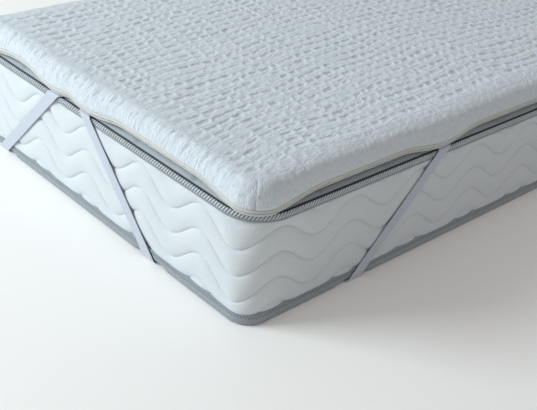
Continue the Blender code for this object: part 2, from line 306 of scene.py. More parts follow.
def band(name, rows, material, uv, wrap=True, caps=(), painted_shade=None, period=None):
    """A mesh of closed rows, each a loop round the bed; caps lists the rows to fill with a flat face."""
    count, columns, _ = rows.shape
    faces = quads(count, columns, wrap)
    for cap in caps:
        loop = list(range(cap % count * columns, (cap % count + 1) * columns))
        faces.append(loop[::-1] if cap == 0 else loop)
    return new_object(name, rows.reshape(-1, 3), faces, material, uv.reshape(-1, 2), painted_shade, period=period)


def dress(piece, node):
    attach(piece, "root")
    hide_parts(node)


def dress_ticking(piece):
    dress(piece, "mattress_body")


# ---- materials ----

class Finish:
    """A node material under construction: a Principled shader and the nodes that feed it."""

    def __init__(self, name, roughness, sheen=0.0, sheen_roughness=0.5, specular=0.5):
        self.material = bpy.data.materials.new(name)
        self.material.use_nodes = True
        self.tree = self.material.node_tree
        self.shader = self.tree.nodes["Principled BSDF"]
        inputs = self.shader.inputs
        inputs["Roughness"].default_value = roughness
        inputs["Sheen Weight"].default_value = sheen
        inputs["Sheen Roughness"].default_value = sheen_roughness
        inputs["Specular IOR Level"].default_value = specular
        self.colour = None
        self.height = None

    def node(self, kind, output=0, settings=None, **inputs):
        """Add a node, set or link its inputs by name (spaces as underscores), and return one output."""
        made = self.tree.nodes.new("ShaderNode" + kind)
        for key, value in (settings or {}).items():
            setattr(made, key, value)
        for key, value in inputs.items():
            socket = made.inputs[int(key[1:]) if key[1:].isdigit() else key.replace("_", " ")]
            if isinstance(value, bpy.types.NodeSocket):
                self.tree.links.new(value, socket)
            else:
                socket.default_value = value
        return made.outputs[output]

    def math(self, operation, first, second=0.0, third=0.0):
        return self.node("Math", settings={"operation": operation}, i0=first, i1=second, i2=third)

    def flat(self):
        """The piece's own flat coordinates in metres."""
        return self.node("UVMap", settings={"uv_map": "flat"})

    def flat_pair(self):
        split = self.node("SeparateXYZ", Vector=self.flat()).node
        return split.outputs[0], split.outputs[1]

    def spot(self):
        """The place in the bed's frame in metres."""
        return self.node("TexCoord", output=3)

    def painted_shade(self):
        """How deep each point lies in folds, pits and seams, kept on the mesh, for painted shade there."""
        return self.node("Attribute", output=2, settings={"attribute_name": "painted_shade"})

    def wave(self, value, pitch):
        """0 to 1 and back, once in each pitch of a coordinate."""
        turned = self.math("MULTIPLY", value, 2 * math.pi / pitch)
        return self.math("MULTIPLY_ADD", self.math("COSINE", turned), 0.5, 0.5)

    def speckle(self, vector, size, detail=2.0, stretch=(1, 1, 1)):
        """Soft noise with lumps of a size in metres, from 0 to 1."""
        scaled = self.node("VectorMath", settings={"operation": "MULTIPLY"}, i0=vector,
                           i1=[1 / (size * part) for part in stretch])
        return self.node("TexNoise", Vector=scaled, Scale=1.0, Detail=detail)

    def ramp(self, value, low, high, start=0.0, end=1.0):
        """Value from low to high mapped onto start to end, held at both."""
        return self.node("MapRange", Value=value, From_Min=low, From_Max=high, To_Min=start, To_Max=end)

    def blend(self, share, first, second):
        """Colour between two, each a socket or three numbers."""
        first, second = (c if isinstance(c, bpy.types.NodeSocket) else (*c, 1.0) for c in (first, second))
        return self.node("Mix", output=2, settings={"data_type": "RGBA"}, i0=share, i6=first, i7=second)

    def paint(self, colour, value, low, high, start=0.0, end=1.0):
        """Lay a colour over the one so far, as strongly as a ramp of the value says."""
        self.colour = self.blend(self.ramp(value, low, high, start, end), self.colour, colour)

    def relief(self, height, depth):
        """Add a bump of a real depth in metres, from a height between 0 and 1."""
        inputs = {"Height": height, "Distance": depth, "Strength": 1.0}
        if self.height is not None:
            inputs["Normal"] = self.height
        self.height = self.node("Bump", **inputs)

    def done(self):
        self.tree.links.new(self.colour, self.shader.inputs["Base Color"])
        if self.height is not None:
            self.tree.links.new(self.height, self.shader.inputs["Normal"])
        return self.material


def crinkled_cover():
    finish = Finish("crinkled_cover", roughness=0.88, sheen=0.25, sheen_roughness=0.6, specular=0.25)
    spot = finish.spot()
    painted_shade = finish.painted_shade()
    patches = finish.speckle(spot, 0.045, detail=3.0)
    threads = finish.speckle(spot, 0.0016, detail=2.0)
    finish.colour = (0.585, 0.635, 0.690)
    finish.paint((0.610, 0.650, 0.695), patches, 0.3, 0.7)
    # Painted shade: darker in the crinkle's pits, in the troughs of the side's gathers and down its corner
    # seams.
    finish.paint((0.34, 0.38, 0.43), painted_shade, 0.35, 1.0, 0.0, 0.65)
    finish.paint((0.68, 0.71, 0.74), threads, 0.35, 0.75, 0.0, 0.22)
    level = finish.node("SeparateXYZ", output=2, Vector=spot)
    beside = finish.ramp(level, PAD_EDGE - 0.012, PAD_EDGE - 0.003, 1.0, 0.0)
    over = finish.speckle(spot, 0.0042, detail=3.0, stretch=(1, 2.2, 1.3))
    upright = finish.speckle(finish.flat(), 0.0028, detail=3.0, stretch=(1, 3.0, 1))
    # Painted shade: darker streaks in the troughs of the upright wrinkles down the topper's side.
    lines = finish.math("MULTIPLY", beside, finish.ramp(upright, 0.28, 0.50, 0.34, 0.0))
    finish.colour = finish.blend(lines, finish.colour, (0.34, 0.38, 0.43))
    more = finish.math("SUBTRACT", upright, over)
    finish.relief(finish.math("MULTIPLY_ADD", more, beside, over), 0.0021)
    flat_x, flat_y = finish.flat_pair()
    weave = finish.math("MULTIPLY", finish.wave(flat_x, 0.0014), finish.wave(flat_y, 0.0014))
    finish.relief(weave, 0.00012)
    return finish.done()


def cream_tape():
    finish = Finish("cream_tape", roughness=0.75, sheen=0.15, specular=0.3)
    along, across = finish.flat_pair()
    ribs = finish.wave(along, 0.0016)
    threads = finish.wave(across, 0.0011)
    wear = finish.speckle(finish.spot(), 0.02, detail=3.0)
    finish.colour = (0.53, 0.53, 0.505)
    finish.paint((0.56, 0.56, 0.54), wear, 0.3, 0.7)
    finish.paint((0.40, 0.39, 0.35), ribs, 0.0, 1.0, 0.2, 0.0)
    finish.relief(finish.math("MULTIPLY", ribs, threads), 0.00022)
    return finish.done()


def white_elastic():
    finish = Finish("white_elastic", roughness=0.55, sheen=0.2, specular=0.4)
    along, across = finish.flat_pair()
    picks = finish.wave(along, 0.0012)
    warp = finish.wave(across, STRAP_WIDTH / 14)
    finish.colour = (0.53, 0.56, 0.64)
    finish.paint((0.44, 0.47, 0.55), picks, 0.0, 1.0, 0.3, 0.0)
    finish.paint((0.40, 0.43, 0.51), warp, 0.0, 0.6, 0.25, 0.0)
    finish.relief(picks, 0.00015)
    return finish.done()


def quilted_ticking(name, low, high):
    finish = Finish(name, roughness=0.85, sheen=0.2, specular=0.3)
    along, up = finish.flat_pair()
    rising = finish.wave(finish.math("ADD", along, up), 0.0064)
    falling = finish.wave(finish.math("SUBTRACT", along, up), 0.0064)
    dots = finish.math("MULTIPLY", rising, falling)
    painted_shade = finish.painted_shade()
    cloud = finish.speckle(finish.spot(), 0.05, detail=3.0)
    finish.colour = low
    finish.paint(high, cloud, 0.3, 0.7)
    finish.paint((0.545, 0.585, 0.615), dots, 0.45, 0.9, 0.0, 0.5)
    # Painted shade along the stitched grooves of the quilting.
    finish.paint((0.42, 0.46, 0.49), painted_shade, 0.3, 1.0, 0.0, 0.10)
    # Painted shade, near black, deep in the seam between the top panel and the edge tape.
    finish.paint((0.03, 0.035, 0.04), painted_shade, 1.0, 2.0, 0.0, 0.92)
    finish.relief(dots, 0.00025)
    finish.relief(finish.speckle(finish.spot(), 0.0013, detail=1.0), 0.00025)
    return finish.done()


STRIPE_PITCH = 0.0066  # slanted stripes of the edge tapes
STRIPE_SLANT = 0.7  # how far a stripe leans along the tape for its height


def grey_edge_tape(name, stripe, ground, plain, striped):
    """Woven tape with slanted stripes between two distances from its border edge, plain on either side."""
    finish = Finish(name, roughness=0.7, sheen=0.15, specular=0.35)
    along, up = finish.flat_pair()
    slanted = finish.math("MULTIPLY_ADD", up, -STRIPE_SLANT, along)
    stripes = finish.ramp(finish.wave(slanted, STRIPE_PITCH), 0.30, 0.62)
    threads = finish.wave(along, 0.0011)
    wear = finish.speckle(finish.spot(), 0.012, detail=3.0)
    woven = finish.blend(stripes, ground, stripe)
    above = finish.ramp(up, striped[0], striped[0] + 0.0008)
    below = finish.ramp(up, striped[1] - 0.0008, striped[1], 1.0, 0.0)
    finish.colour = finish.blend(finish.math("MULTIPLY", above, below), plain, woven)
    finish.paint(ground, wear, 0.35, 0.75, 0.0, 0.25)
    finish.paint((0.10, 0.11, 0.13), threads, 0.0, 1.0, 0.25, 0.0)
    finish.relief(threads, 0.0002)
    return finish.done()


# ---- topper: crinkled top ----

TURN_INSET = 0.0270  # where the flat top starts to turn down, in from the topper's side
TURN_DROP = 0.0002
LONG_DROP = 0.0020  # the long sides turn more gently, from lower down
LONG_TURN = 0.011
CROWN_REACH = 0.09
PULL_FADE = 0.08
ROWS = 36  # raised bands of the crinkle across the bed, each running along it with a valley on either side
CELLS = 66  # pits in each valley, parted by low welts
RELIEF = 0.0016  # from a band down to the floor of a full pit
PIT_HALF = 0.0058  # half width of a pit, at the middle of its flanks
PIT_FLANK = 0.0040  # width of a flank
SHOULDER = 0.0024  # from the middle of a flank to the band beside it
CROSS_SOFT = 0.0048  # half width of the welts between pits
WELT_LINES = (0.0, 0.0034, 0.0068)  # mesh lines beside the middle of a welt
PIT_LINES = 2  # and across the pit between two welts
SPARE = 6  # pitches beyond either edge, for the crinkle that turns down the sides
LONG_SHARE = 0.40  # how much of the pits and welts is left at the long sides
LONG_FADE = 1.4  # pitches over which it gets there

TOP_X = WIDTH / 2 - PAD_INSET - TURN_INSET
TOP_Y = LENGTH / 2 - PAD_INSET - TURN_INSET
TOP_RADIUS = PAD_CORNER - TURN_INSET
ROW_PITCH = 2 * TOP_X / (ROWS - 1)
CELL = 2 * TOP_Y / CELLS

# Each pit by its valley and its number along the bed; the welts between pits run on across the bands
_valleys = np.arange(ROWS + 2 * SPARE)[:, None]
_cells = np.arange(CELLS + 1)[None, :]
_random = np.random.default_rng(11)
_table = (_valleys.size, _cells.size)
_fade = ease(_cells / 5.0) * ease((CELLS - _cells) / 5.0)
_drift = 0.9 * noise(_valleys / 8.0, _cells / 24.0, 71) + 0.20 * noise(_valleys / 4.0, _cells, 72)
WELT_PLACE = (_cells + _fade * (_drift + _random.uniform(-0.08, 0.08, _table))) * CELL - TOP_Y
WELT_HEIGHT = np.clip(0.98 + 0.55 * noise(_valleys / 6.0, _cells, 74), 0.55, 1.15)
PIT_DEPTH = np.clip(0.86 + 0.50 * noise(_valleys, _cells / 1.5, 73), 0.45, 1.05)
PIT_DEPTH *= np.where(_random.random(_table) < 0.06, 0.2, 1.0)
PIT_WIDTH = _random.uniform(-0.0013, 0.0013, _table)
PIT_SHIFT = _random.uniform(-0.0011, 0.0011, _table)


def row_sway(x, y):
    """How far the crinkle rows wander sideways, fading out at the topper's edges."""
    in_x = TOP_X - np.abs(x)
    askew = 0.024 * np.sin(2 * math.pi * (0.72 - y) / 1.3)
    wander = 0.0090 * noise(x / 0.11, y / 0.14, 1) + 0.0042 * noise(x / ROW_PITCH, y / 0.065, 2)
    return askew * ease(in_x / 0.20) + wander * ease(in_x / 0.03)


def pit_at(valley, y):
    """Depth, half width and shift of the pit at a place along a valley, and height of and way to its welt."""
    guess = np.clip(np.rint((y + TOP_Y) / CELL).astype(int), 0, CELLS)
    tried = np.clip([guess + step for step in range(-2, 3)], 0, CELLS)
    away = y - WELT_PLACE[valley, tried]
    chosen = np.argmin(np.abs(away), axis=0)[None]
    welt, past = (np.take_along_axis(table, chosen, axis=0)[0] for table in (tried, away))
    cell, beside = np.clip((welt - (past <= 0), welt - (past > 0)), 0, CELLS - 1)
    share = 0.5 * fading(np.abs(past), 0.004)
    depth, width, shift = (mix(table[valley, cell], table[valley, beside], share)
                           for table in (PIT_DEPTH, PIT_WIDTH, PIT_SHIFT))
    return depth, PIT_HALF + width, shift, WELT_HEIGHT[valley, welt], np.abs(past)


def crinkle(u, y):
    """Height of the crinkle, about -0.7 to 0.5; u is in pitches across the bed, y in metres along it."""
    valley = np.rint(u).astype(int) + SPARE
    band = np.floor(u) + SPARE + 0.5
    depth, half, shift, welt, along = pit_at(valley, y)
    x = u * ROW_PITCH
    sideways = np.abs((u + SPARE - valley) * ROW_PITCH - shift)
    to_band = np.abs(u + SPARE - band) * ROW_PITCH
    pit = depth * ease((half - sideways) / PIT_FLANK + 0.5) * (1 - welt * bell(along, CROSS_SOFT))
    crossing = 0.42 * welt * bell(along, 0.0056) * ease(1.0 - sideways / 0.0118)
    groove = np.clip(0.12 + 0.55 * noise(band, y / 0.026, 75), 0, 0.5) * bell(to_band, 0.0026)
    pucker = 0.50 * (0.35 - np.abs(noise(x / 0.0085 + 40, y / 0.0150, 4))) \
        + 0.32 * noise(x / 0.0055, y / 0.0095, 7) + 0.14 * noise(x / 0.034, y / 0.050, 3)
    left = mix(LONG_SHARE, 1.0, ease(np.minimum(u - 0.5, ROWS - 0.5 - u) / LONG_FADE))
    return left * (0.25 - pit + crossing - groove) + mix(0.75, 1.0, left) * pucker


def long_share(y):
    """1 along a long side, falling to 0 at its corners."""
    return ease((TOP_Y - np.abs(y)) / 0.045)


def top_height(x, y):
    """Crowned level of the topper's top, without its crinkle or the pull of the straps."""
    in_x, in_y = TOP_X - np.abs(x), TOP_Y - np.abs(y)
    across, along = 1 - fading(in_x, CROWN_REACH), 1 - fading(in_y, CROWN_REACH)
    lumps = 0.0011 * noise(x / 0.16, y / 0.19, 5)
    drop = LONG_DROP * fading(in_x, LONG_TURN) * long_share(y)
    return PAD_EDGE - TURN_DROP + (TURN_DROP + PAD_CROWN + lumps) * across * along - drop


def edge_pull(x, y):
    """Grip of the nearest edge on each point of the top, and its sideways push, both fading inward."""
    side = np.arange(4)[:, None, None]
    along, outward = ((paired(x, y) * axes[side]).sum(axis=-1) for axes in (RUN, OUT))
    depth = ACROSS[side] - PAD_INSET - TURN_INSET - outward
    grips = pad_pull(side, HALF[side] + along) * fading(depth, PULL_FADE)
    return grips.max(axis=0), (PAD_INSET + PAD_PROUD) * (grips[..., None] * OUT[side]).sum(axis=0)


def crinkle_places():
    """Mesh of the top in the crinkle's coordinates: columns follow the pits' flanks, lines their welts."""
    welts = WELT_PLACE[SPARE:SPARE + ROWS + 1]
    start, end = welts[:, :-1, None], welts[:, 1:, None]
    shares = np.arange(1, PIT_LINES + 1) / (PIT_LINES + 1)
    before, after = start + WELT_LINES, end - WELT_LINES[:0:-1]
    between = mix(before[..., -1:], after[..., :1], shares)
    lines = np.concatenate((before, between, after), axis=-1).reshape(len(welts), -1)
    lines = np.column_stack((lines, np.full(len(welts), TOP_Y)))
    low, high = lines[:-1], lines[1:]
    valley = np.arange(ROWS)[:, None] + 1
    _, half, shift, _, _ = pit_at(valley + SPARE, high)
    flanks = (-half - SHOULDER, -half, 0, half, half + SHOULDER)
    columns = [np.full(high.shape, valley - 0.5)] + [valley + (shift + flank) / ROW_PITCH for flank in flanks]
    places = [(low + high) / 2] + [high] * len(flanks)
    # the last band has no valley beyond it
    return [np.stack(part, axis=1).reshape(-1, high.shape[1])[:-len(flanks)] for part in (columns, places)]


def topper_top():
    """Points of the topper's top, and the slopes of its crinkle sideways and along the bed."""
    u, y = crinkle_places()
    plain_x = (u - 0.5) * ROW_PITCH - TOP_X
    x = plain_x + row_sway(plain_x, y)
    height = crinkle(u, y)
    grip, push = edge_pull(x, y)
    z = top_height(x, y) - EDGE_DIP * grip + RELIEF * height
    points = raised(paired(*rounded(x, y, TOP_X, TOP_Y, TOP_RADIUS)) + push, z)
    step = 0.0005
    across = (crinkle(u + step / ROW_PITCH, y) - crinkle(u - step / ROW_PITCH, y)) / (2 * step)
    along = (crinkle(u, y + step) - crinkle(u, y - step)) / (2 * step)
    return points, u, y, height, raised(-RELIEF * paired(across, along), np.ones(u.shape))


# ---- topper: side ----

SideRow = namedtuple("SideRow", "depth share long_depth long_share crinkle long_crinkle wrinkle steps")
# Rows down the topper's side, from the end of its top to the zip: depth in from the side's outer line, share
# of the way up from the zip to the edge, strength of crinkle and of wrinkle, and mesh rows to the next one.
# The columns named long are for the long sides.
SIDE_ROWS = [SideRow(*row) for row in (
    (0.0270, 1.000, 0.0270, 1.000, 1.00, 1.00, 0.00, 2),
    (0.0190, 0.968, 0.0194, 0.954, 1.00, 0.85, 0.20, 3),
    (0.0122, 0.888, 0.0130, 0.886, 0.90, 0.68, 0.50, 3),
    (0.0068, 0.770, 0.0084, 0.790, 0.75, 0.55, 0.85, 3),
    (0.0032, 0.635, 0.0052, 0.665, 0.55, 0.45, 1.00, 3),
    (0.0008, 0.455, 0.0026, 0.480, 0.38, 0.38, 1.00, 3),
    (-0.0002, 0.270, 0.0008, 0.280, 0.22, 0.28, 0.90, 3),
    (-0.0002, 0.100, 0.0001, 0.100, 0.10, 0.12, 0.60, 2),
    (0.0008, 0.012, 0.0008, 0.012, 0.00, 0.00, 0.15, 1),
    (0.0024, -0.012, 0.0024, -0.012, 0.00, 0.00, 0.00, 1),
)]
# Rows below: seat behind the zip and the underside, share of the way up from the mattress to the zip's foot
UNDER_ROWS = [SideRow(*place, *place, 0.0, 0.0, wrinkle, steps) for *place, wrinkle, steps in (
    (0.0075, 1.00, 0.0, 1),
    (0.0092, 0.94, 0.2, 2),
    (0.0118, 0.72, 0.4, 2),
    (0.0165, 0.40, 0.4, 1),
    (0.0300, 0.10, 0.2, 1),
    (0.0600, 0.00, 0.0, 1),
)]
WRINKLE = 0.0014
DIMPLE = 0.0007
SEAM_DEPTH = 0.0022
SEAM_WIDTH = 0.0014
GATHER_REACH = 0.085
GATHER_PITCH = 0.0088


def side_wrinkles(distance, drop, to_corner, long):
    """Upright gathers of the cover's side, closer and sharper near the corners, -1 to 1."""
    place = distance + 0.25 * drop + 0.004 * noise(distance / 0.05, drop / 0.03, 21)
    gathers = np.cos(2 * math.pi * (place / GATHER_PITCH + 1.1 * noise(distance / 0.05, drop / 0.08, 22)))
    broad = noise(place / 0.0085, drop / 0.050, 23)
    sharp = 1 - 2 * np.abs(noise(place / 0.0080 + 9, drop / 0.045, 24))
    near = fading(to_corner, GATHER_REACH)
    strong = np.clip(0.55 + 0.6 * noise(distance / 0.06, drop / 0.03, 27), 0.15, 1.0)
    on_short = (0.50 * gathers * strong + 0.50 * broad) * (0.9 + 0.4 * near)
    on_long = 0.20 * gathers * strong + 0.45 * broad + 0.40 * sharp * strong
    return mix(on_short, on_long, long) + 0.45 * sharp * near


def grid_ring(columns, lines):
    """Numbers of the points round a grid's edge, anticlockwise from its first."""
    numbers = np.arange(columns * lines).reshape(columns, lines)
    return np.concatenate((numbers[:-1, 0], numbers[-1, :-1], numbers[:0:-1, -1], numbers[0, :0:-1]))


def topper_side(top, u, y):
    """Rows of points from the top's edge down the side, round the zip's seat and in under the topper."""
    columns, lines, _ = top.shape
    ring = grid_ring(columns, lines)
    first = top.reshape(-1, 3)[ring]
    on_ring = paired((u - 0.5) * ROW_PITCH - TOP_X, y).reshape(-1, 2)[ring]

    # every second column lies between two of the top's
    halfway = (on_ring + np.roll(on_ring, -1, axis=0)) / 2
    plain = np.stack((on_ring, halfway), axis=1).reshape(-1, 2)
    side = np.repeat(np.arange(4), 2 * np.array((columns - 1, lines - 1, columns - 1, lines - 1)))
    reach = HALF[side] - PAD_INSET - TURN_INSET
    place = (plain * RUN[side]).sum(axis=1) + reach

    arc = PAD_CORNER * math.pi / 4
    travelled = np.where(place < TOP_RADIUS, place / TOP_RADIUS * arc, place - TOP_RADIUS + arc)
    late = place - (2 * reach - TOP_RADIUS)
    length = run_length(side, PAD_CORNER)
    travelled = np.where(late > 0, length - arc + late / TOP_RADIUS * arc, travelled)
    share = np.clip(travelled / length, 0, 1)
    grip = pad_pull(side, place_on(side, share, PAD_CORNER))
    to_corner = np.minimum(travelled, length - travelled)
    distance = run_on(side, share, PAD_CORNER)

    long = side % 2 * long_share(plain[:, 1])
    head, foot = zip_middle(grip) + ZIP_HALF, zip_middle(grip) - ZIP_HALF
    edge = PAD_EDGE - EDGE_DIP * grip - TURN_DROP - LONG_DROP * long
    spans = [(row, head, edge) for row in SIDE_ROWS] + [(row, PANEL_TOP + GAP, foot) for row in UNDER_ROWS]
    controls = [np.column_stack((
        mix(row.depth, row.long_depth, long) + pad_inset(grip),
        mix(low, high, mix(row.share, row.long_share, long)),
        mix(row.crinkle, row.long_crinkle, long),
        np.full(long.shape, row.wrinkle),
    )) for row, low, high in spans]
    inset, level, crinkled, wrinkled = np.moveaxis(smooth_rows(controls, SIDE_ROWS + UNDER_ROWS), -1, 0)
    flat = rim_far_in(side, share, PAD_CORNER, inset, 0.7 * PAD_CORNER)
    base = raised(flat, level)

    around = np.roll(base, -1, axis=1) - np.roll(base, 1, axis=1)
    outward = unit(np.cross(np.gradient(base, axis=0), around))
    drop = travel_down(base)
    far = plain + OUT[side] * drop[..., None]
    far_u = np.clip((far[..., 0] + TOP_X) / ROW_PITCH + 0.5, 0.5 - SPARE + 1, ROWS - 0.5 + SPARE - 2)
    far_y = np.clip(far[..., 1], -TOP_Y - 0.07, TOP_Y + 0.07)
    puffs = crinkle(far_u, far_y)
    wrinkles = side_wrinkles(distance, drop, to_corner, long)
    dimples = noise(distance / 0.0060, drop / 0.0075, 26)
    seam = bell(to_corner + 0.0006 * noise(drop / 0.02, 3, 25), SEAM_WIDTH)
    on_side = ease(drop / 0.006) * (level > head - 1e-4)
    lift = RELIEF * crinkled * puffs + WRINKLE * wrinkled * wrinkles - SEAM_DEPTH * seam * on_side
    lift += DIMPLE * wrinkled * dimples
    points = base + outward * lift[..., None]
    # Painted shade for the cover's colour: darker in the pits, in the gathers' troughs and in the corner
    # seams.
    painted_shade = np.clip(-0.9 * crinkled * puffs - 0.75 * wrinkled * wrinkles + 1.6 * seam * on_side, 0, 1)
    return first, points[1:], paired(distance, -drop)[1:], painted_shade[1:], distance[::2]


def underside(across, along, start):
    """Faces that close a ring of points: strips from one long side to the other, and a fan at either end."""
    right, head, left, count = across, across + along, 2 * across + along, 2 * (across + along)
    faces = [(count - k, count - k - 1, right + k + 1, right + k) for k in range(1, along - 1)]
    for first, near, far in ((0, count - 1, right + 1), (head, head - 1, left + 1)):
        middle = first + across // 2
        faces += [(first + k, near if k < across // 2 else far, first + k + 1) for k in range(across)]
        faces.append((middle, near, far))
    return [tuple(start + k % count for k in face) for face in faces]


def face_sums(points, faces):
    """Areas of the faces round each point, added up as vectors along their normals."""
    sums = np.zeros_like(points)
    for size in (3, 4):
        chosen = np.array([face for face in faces if len(face) == size], int).reshape(-1, size)
        corner = points[chosen]
        area = np.cross(corner[:, 2] - corner[:, 0], corner[:, -1] - corner[:, 1])
        for k in range(size):
            np.add.at(sums, chosen[:, k], area)
    return sums


def make_topper(material):
    """Top and side of the cover, whose shading runs on across the turned edge that they share."""
    top, u, y, height, slopes = topper_top()
    first, side, side_uv, side_painted_shade, distance = topper_side(top, u, y)
    columns, lines, _ = top.shape
    rows, around, _ = side.shape
    half = around // 2
    top_points = top.reshape(-1, 3)
    top_faces = [face[::-1] for face in quads(columns, lines, False)]

    # three triangles join each stretch of the top's edge to two of the side's first row
    here = np.arange(half)
    after, below, beyond = (here + 1) % half, half + 2 * here, half + (2 * here + 2) % around
    trios = ((here, below, below + 1), (here, below + 1, after), (after, below + 1, beyond))
    side_points = np.concatenate((first, side.reshape(-1, 3)))
    side_faces = np.concatenate([np.stack(trio, axis=-1) for trio in trios]).tolist()
    side_faces += [face[::-1] for face in quads(rows, around, True, start=half)]

    ring = grid_ring(columns, lines)
    top_sums, side_sums = face_sums(top_points, top_faces), face_sums(side_points, side_faces)
    top_sums[ring] += side_sums[:half]
    side_sums[:half] = top_sums[ring]
    # inside the top's edge the crinkle's own slopes are sharper than its faces
    column, line = np.arange(columns)[:, None], np.arange(lines)[None]
    inward = np.minimum(np.minimum(column, columns - 1 - column), np.minimum(line, lines - 1 - line))
    share = np.clip((inward - 2) / 4.0, 0, 1).reshape(-1, 1)
    top_normals = mix(unit(top_sums), unit(slopes).reshape(-1, 3), share)

    # Painted shade for the cover's colour, darker in the crinkle's pits.
    top_painted_shade = np.clip(-0.9 * height, 0, 1).ravel()
    top_piece = new_object(
        "topper_top", top_points, top_faces, material, top_points[:, :2], top_painted_shade, top_normals)
    side_faces += underside(2 * (columns - 1), 2 * (lines - 1), half + (rows - 1) * around)
    side_uv = np.concatenate((paired(distance, 0), side_uv.reshape(-1, 2)))
    side_painted_shade = np.concatenate((top_painted_shade[ring], side_painted_shade.ravel()))
    side_piece = new_object("topper_side", side_points, side_faces, material, side_uv, side_painted_shade,
                            unit(side_sums), period=perimeter(PAD_CORNER))
    for piece in (top_piece, side_piece):
        dress(piece, "topper_pad")


# ---- zip ----

ZIP_STEP = 0.0042
HALF_SLIT = 0.0003  # from the zip's middle to either tape, where they meet
# Section of a tape from its sewn edge to the slit: share of the way there, and depth of the upper tape and of
# the lower one, which rolls in under the topper
ZIP_SHARES = np.array((0.00, 0.00, 0.14, 0.50, 0.80, 0.94, 1.00, 0.80))
UPPER_DEPTHS = np.array((0.0034, 0.0017, 0.0010, 0.0004, 0.0001, 0.0003, 0.0012, 0.0030))
LOWER_DEPTHS = np.array((0.0064, 0.0044, 0.0032, 0.0016, 0.0008, 0.0007, 0.0012, 0.0034))


def make_zip_tape(name, depths, way, material):
    """One cream tape, rolled where it is sewn on and again where it meets the other; way is up or down."""
    outer, inner = way * (ZIP_HALF - GAP), way * HALF_SLIT
    period = perimeter(PAD_CORNER)
    distance, side, share = even_stations(int(period / ZIP_STEP), PAD_CORNER)
    grip = pad_pull(side, place_on(side, share, PAD_CORNER))
    pucker = 0.0003 * noise(distance / 0.011, outer * 1000, 31)
    flat = rim(side, share, PAD_CORNER, pad_inset(grip) + depths[:, None] + pucker)
    rows = raised(flat, zip_middle(grip) + mix(outer, inner, ZIP_SHARES[:, None]) + 0.5 * pucker)
    rows = np.concatenate((rows, rows[:1]))[::-way]
    travel = ZIP_HALF * np.cumsum((0, *np.abs(np.diff(ZIP_SHARES)), 1))
    piece = band("cream_" + name, rows, material, paired(distance, travel[:, None]), period=period)
    dress(piece, name)


# ---- edge tapes ----

TapePoint = namedtuple("TapePoint", "inset share nipped_inset nipped_share striped steps")
# Section of an edge tape, from its inner edge down in the seam, over the fold and along to the border
TAPE_SECTION = [TapePoint(*row) for row in (
    (0.0068, 0.62, 0.0072, 0.66, 0.0, 1),
    (0.0050, 0.34, 0.0062, 0.42, 0.0, 1),
    (0.0038, 0.12, 0.0056, 0.22, 0.5, 1),
    (0.0022, 0.03, 0.0044, 0.15, 1.0, 2),
    (0.0006, 0.10, 0.0026, 0.22, 1.0, 2),
    (0.0000, 0.28, 0.0016, 0.34, 1.0, 2),
    (0.0001, 0.48, 0.0012, 0.50, 1.0, 1),
    (0.0006, 0.62, 0.0010, 0.64, 1.0, 1),
    (0.0016, 0.68, 0.0018, 0.68, 0.0, 1),
    (0.0010, 0.77, 0.0012, 0.77, 0.0, 1),
    (0.0011, 0.92, 0.0013, 0.92, 0.0, 1),
    (0.0034, 1.00, 0.0034, 1.00, 0.0, 1),
    (0.0080, 0.99, 0.0080, 0.99, 0.0, 1),
)]
TAPE_NIP = 0.036  # a strap nips the tape in full this far either side of its middle
TAPE_NIP_FADE = 0.018  # and less and less over this stretch beyond
TAPE_RIB = 0.00035  # how proud the woven stripes stand


def corner_axes(corner):
    """A corner of the outline, with unit vectors back along the side before it and on along the next."""
    return RUN[corner] * HALF[corner] + OUT[corner] * ACROSS[corner], -RUN[corner], RUN[(corner + 1) % 4]


def fold_place(reach):
    """Distance from the corner at which a strap turns under the mattress, at 45 degrees from its sewn end."""
    return reach - (STRAP_HEAD - STRAP_FOOT) - STRAP_BEND * math.pi / 4


def make_edge_tape(node, radius, reaches, face, inner, material):
    """Woven tape folded round one edge; its mesh leans with the stripes, four columns to a stripe."""
    total = perimeter(radius)
    stripes = int(total / STRIPE_PITCH)
    distance = np.arange(4 * stripes) * total / (4 * stripes)
    rib = TAPE_RIB * np.tile((1.0, 0.4, 0.0, 0.4), stripes)
    height = inner - face
    section = smooth_rows([point[:5] for point in TAPE_SECTION], TAPE_SECTION)
    travel = travel_down(section[:, :2] * (1, height))[:, None]
    inset, share, nipped_inset, nipped_share, striped = section.T[..., None]
    up = (1 - share) * abs(height)
    leaned = distance + STRIPE_SLANT * up
    side, spot = round_trip(leaned, radius)
    nip = ease((TAPE_NIP - from_strap(side, place_on(side, spot, radius), reaches)) / TAPE_NIP_FADE + 1.0)
    wander = 0.0003 * noise(leaned / 0.03, travel * 200, 41)
    flat = rim(side, spot, radius, mix(inset, nipped_inset, nip) - rib * striped + wander)
    rows = raised(flat, face + height * mix(share, nipped_share, nip))
    way = -1 if height < 0 else 1
    piece = band("woven_" + node, rows[::way], material, paired(leaned, up)[::way], period=total)
    dress(piece, node)


# ---- mattress ----

BORDER_COLUMNS = 1408
QUILT_LINES = (0.011, 0.062, 0.113, 0.164, 0.215)  # heights of the middles of the stitched waves
_steps = np.array((0.0014, 0.0030, 0.0055, 0.0090, 0.0140, 0.0200))
LINE_STEPS = (*-_steps, 0.0, *_steps, 0.0255)  # from there to the mesh rows beside them
BORDER_FOOT = LOWER_TAPE - 0.0030
BORDER_HEAD = TAPE_TOP - UPPER_TAPE + 0.0030
END_STEP = 0.0024
SWAY_FADE = 0.034


def border_levels():
    """Mesh rows of the border before they sway: close on the stitched waves, even near both tapes."""
    low, high = 0.0455, 0.1815
    middle = np.add.outer(QUILT_LINES[1:4], LINE_STEPS).ravel()
    middle = middle[(middle > low) & (middle < high)]
    foot = np.arange(BORDER_FOOT, low, END_STEP)
    head = np.arange(high, BORDER_HEAD + END_STEP, END_STEP)
    return np.sort(np.concatenate((foot, middle, head)))


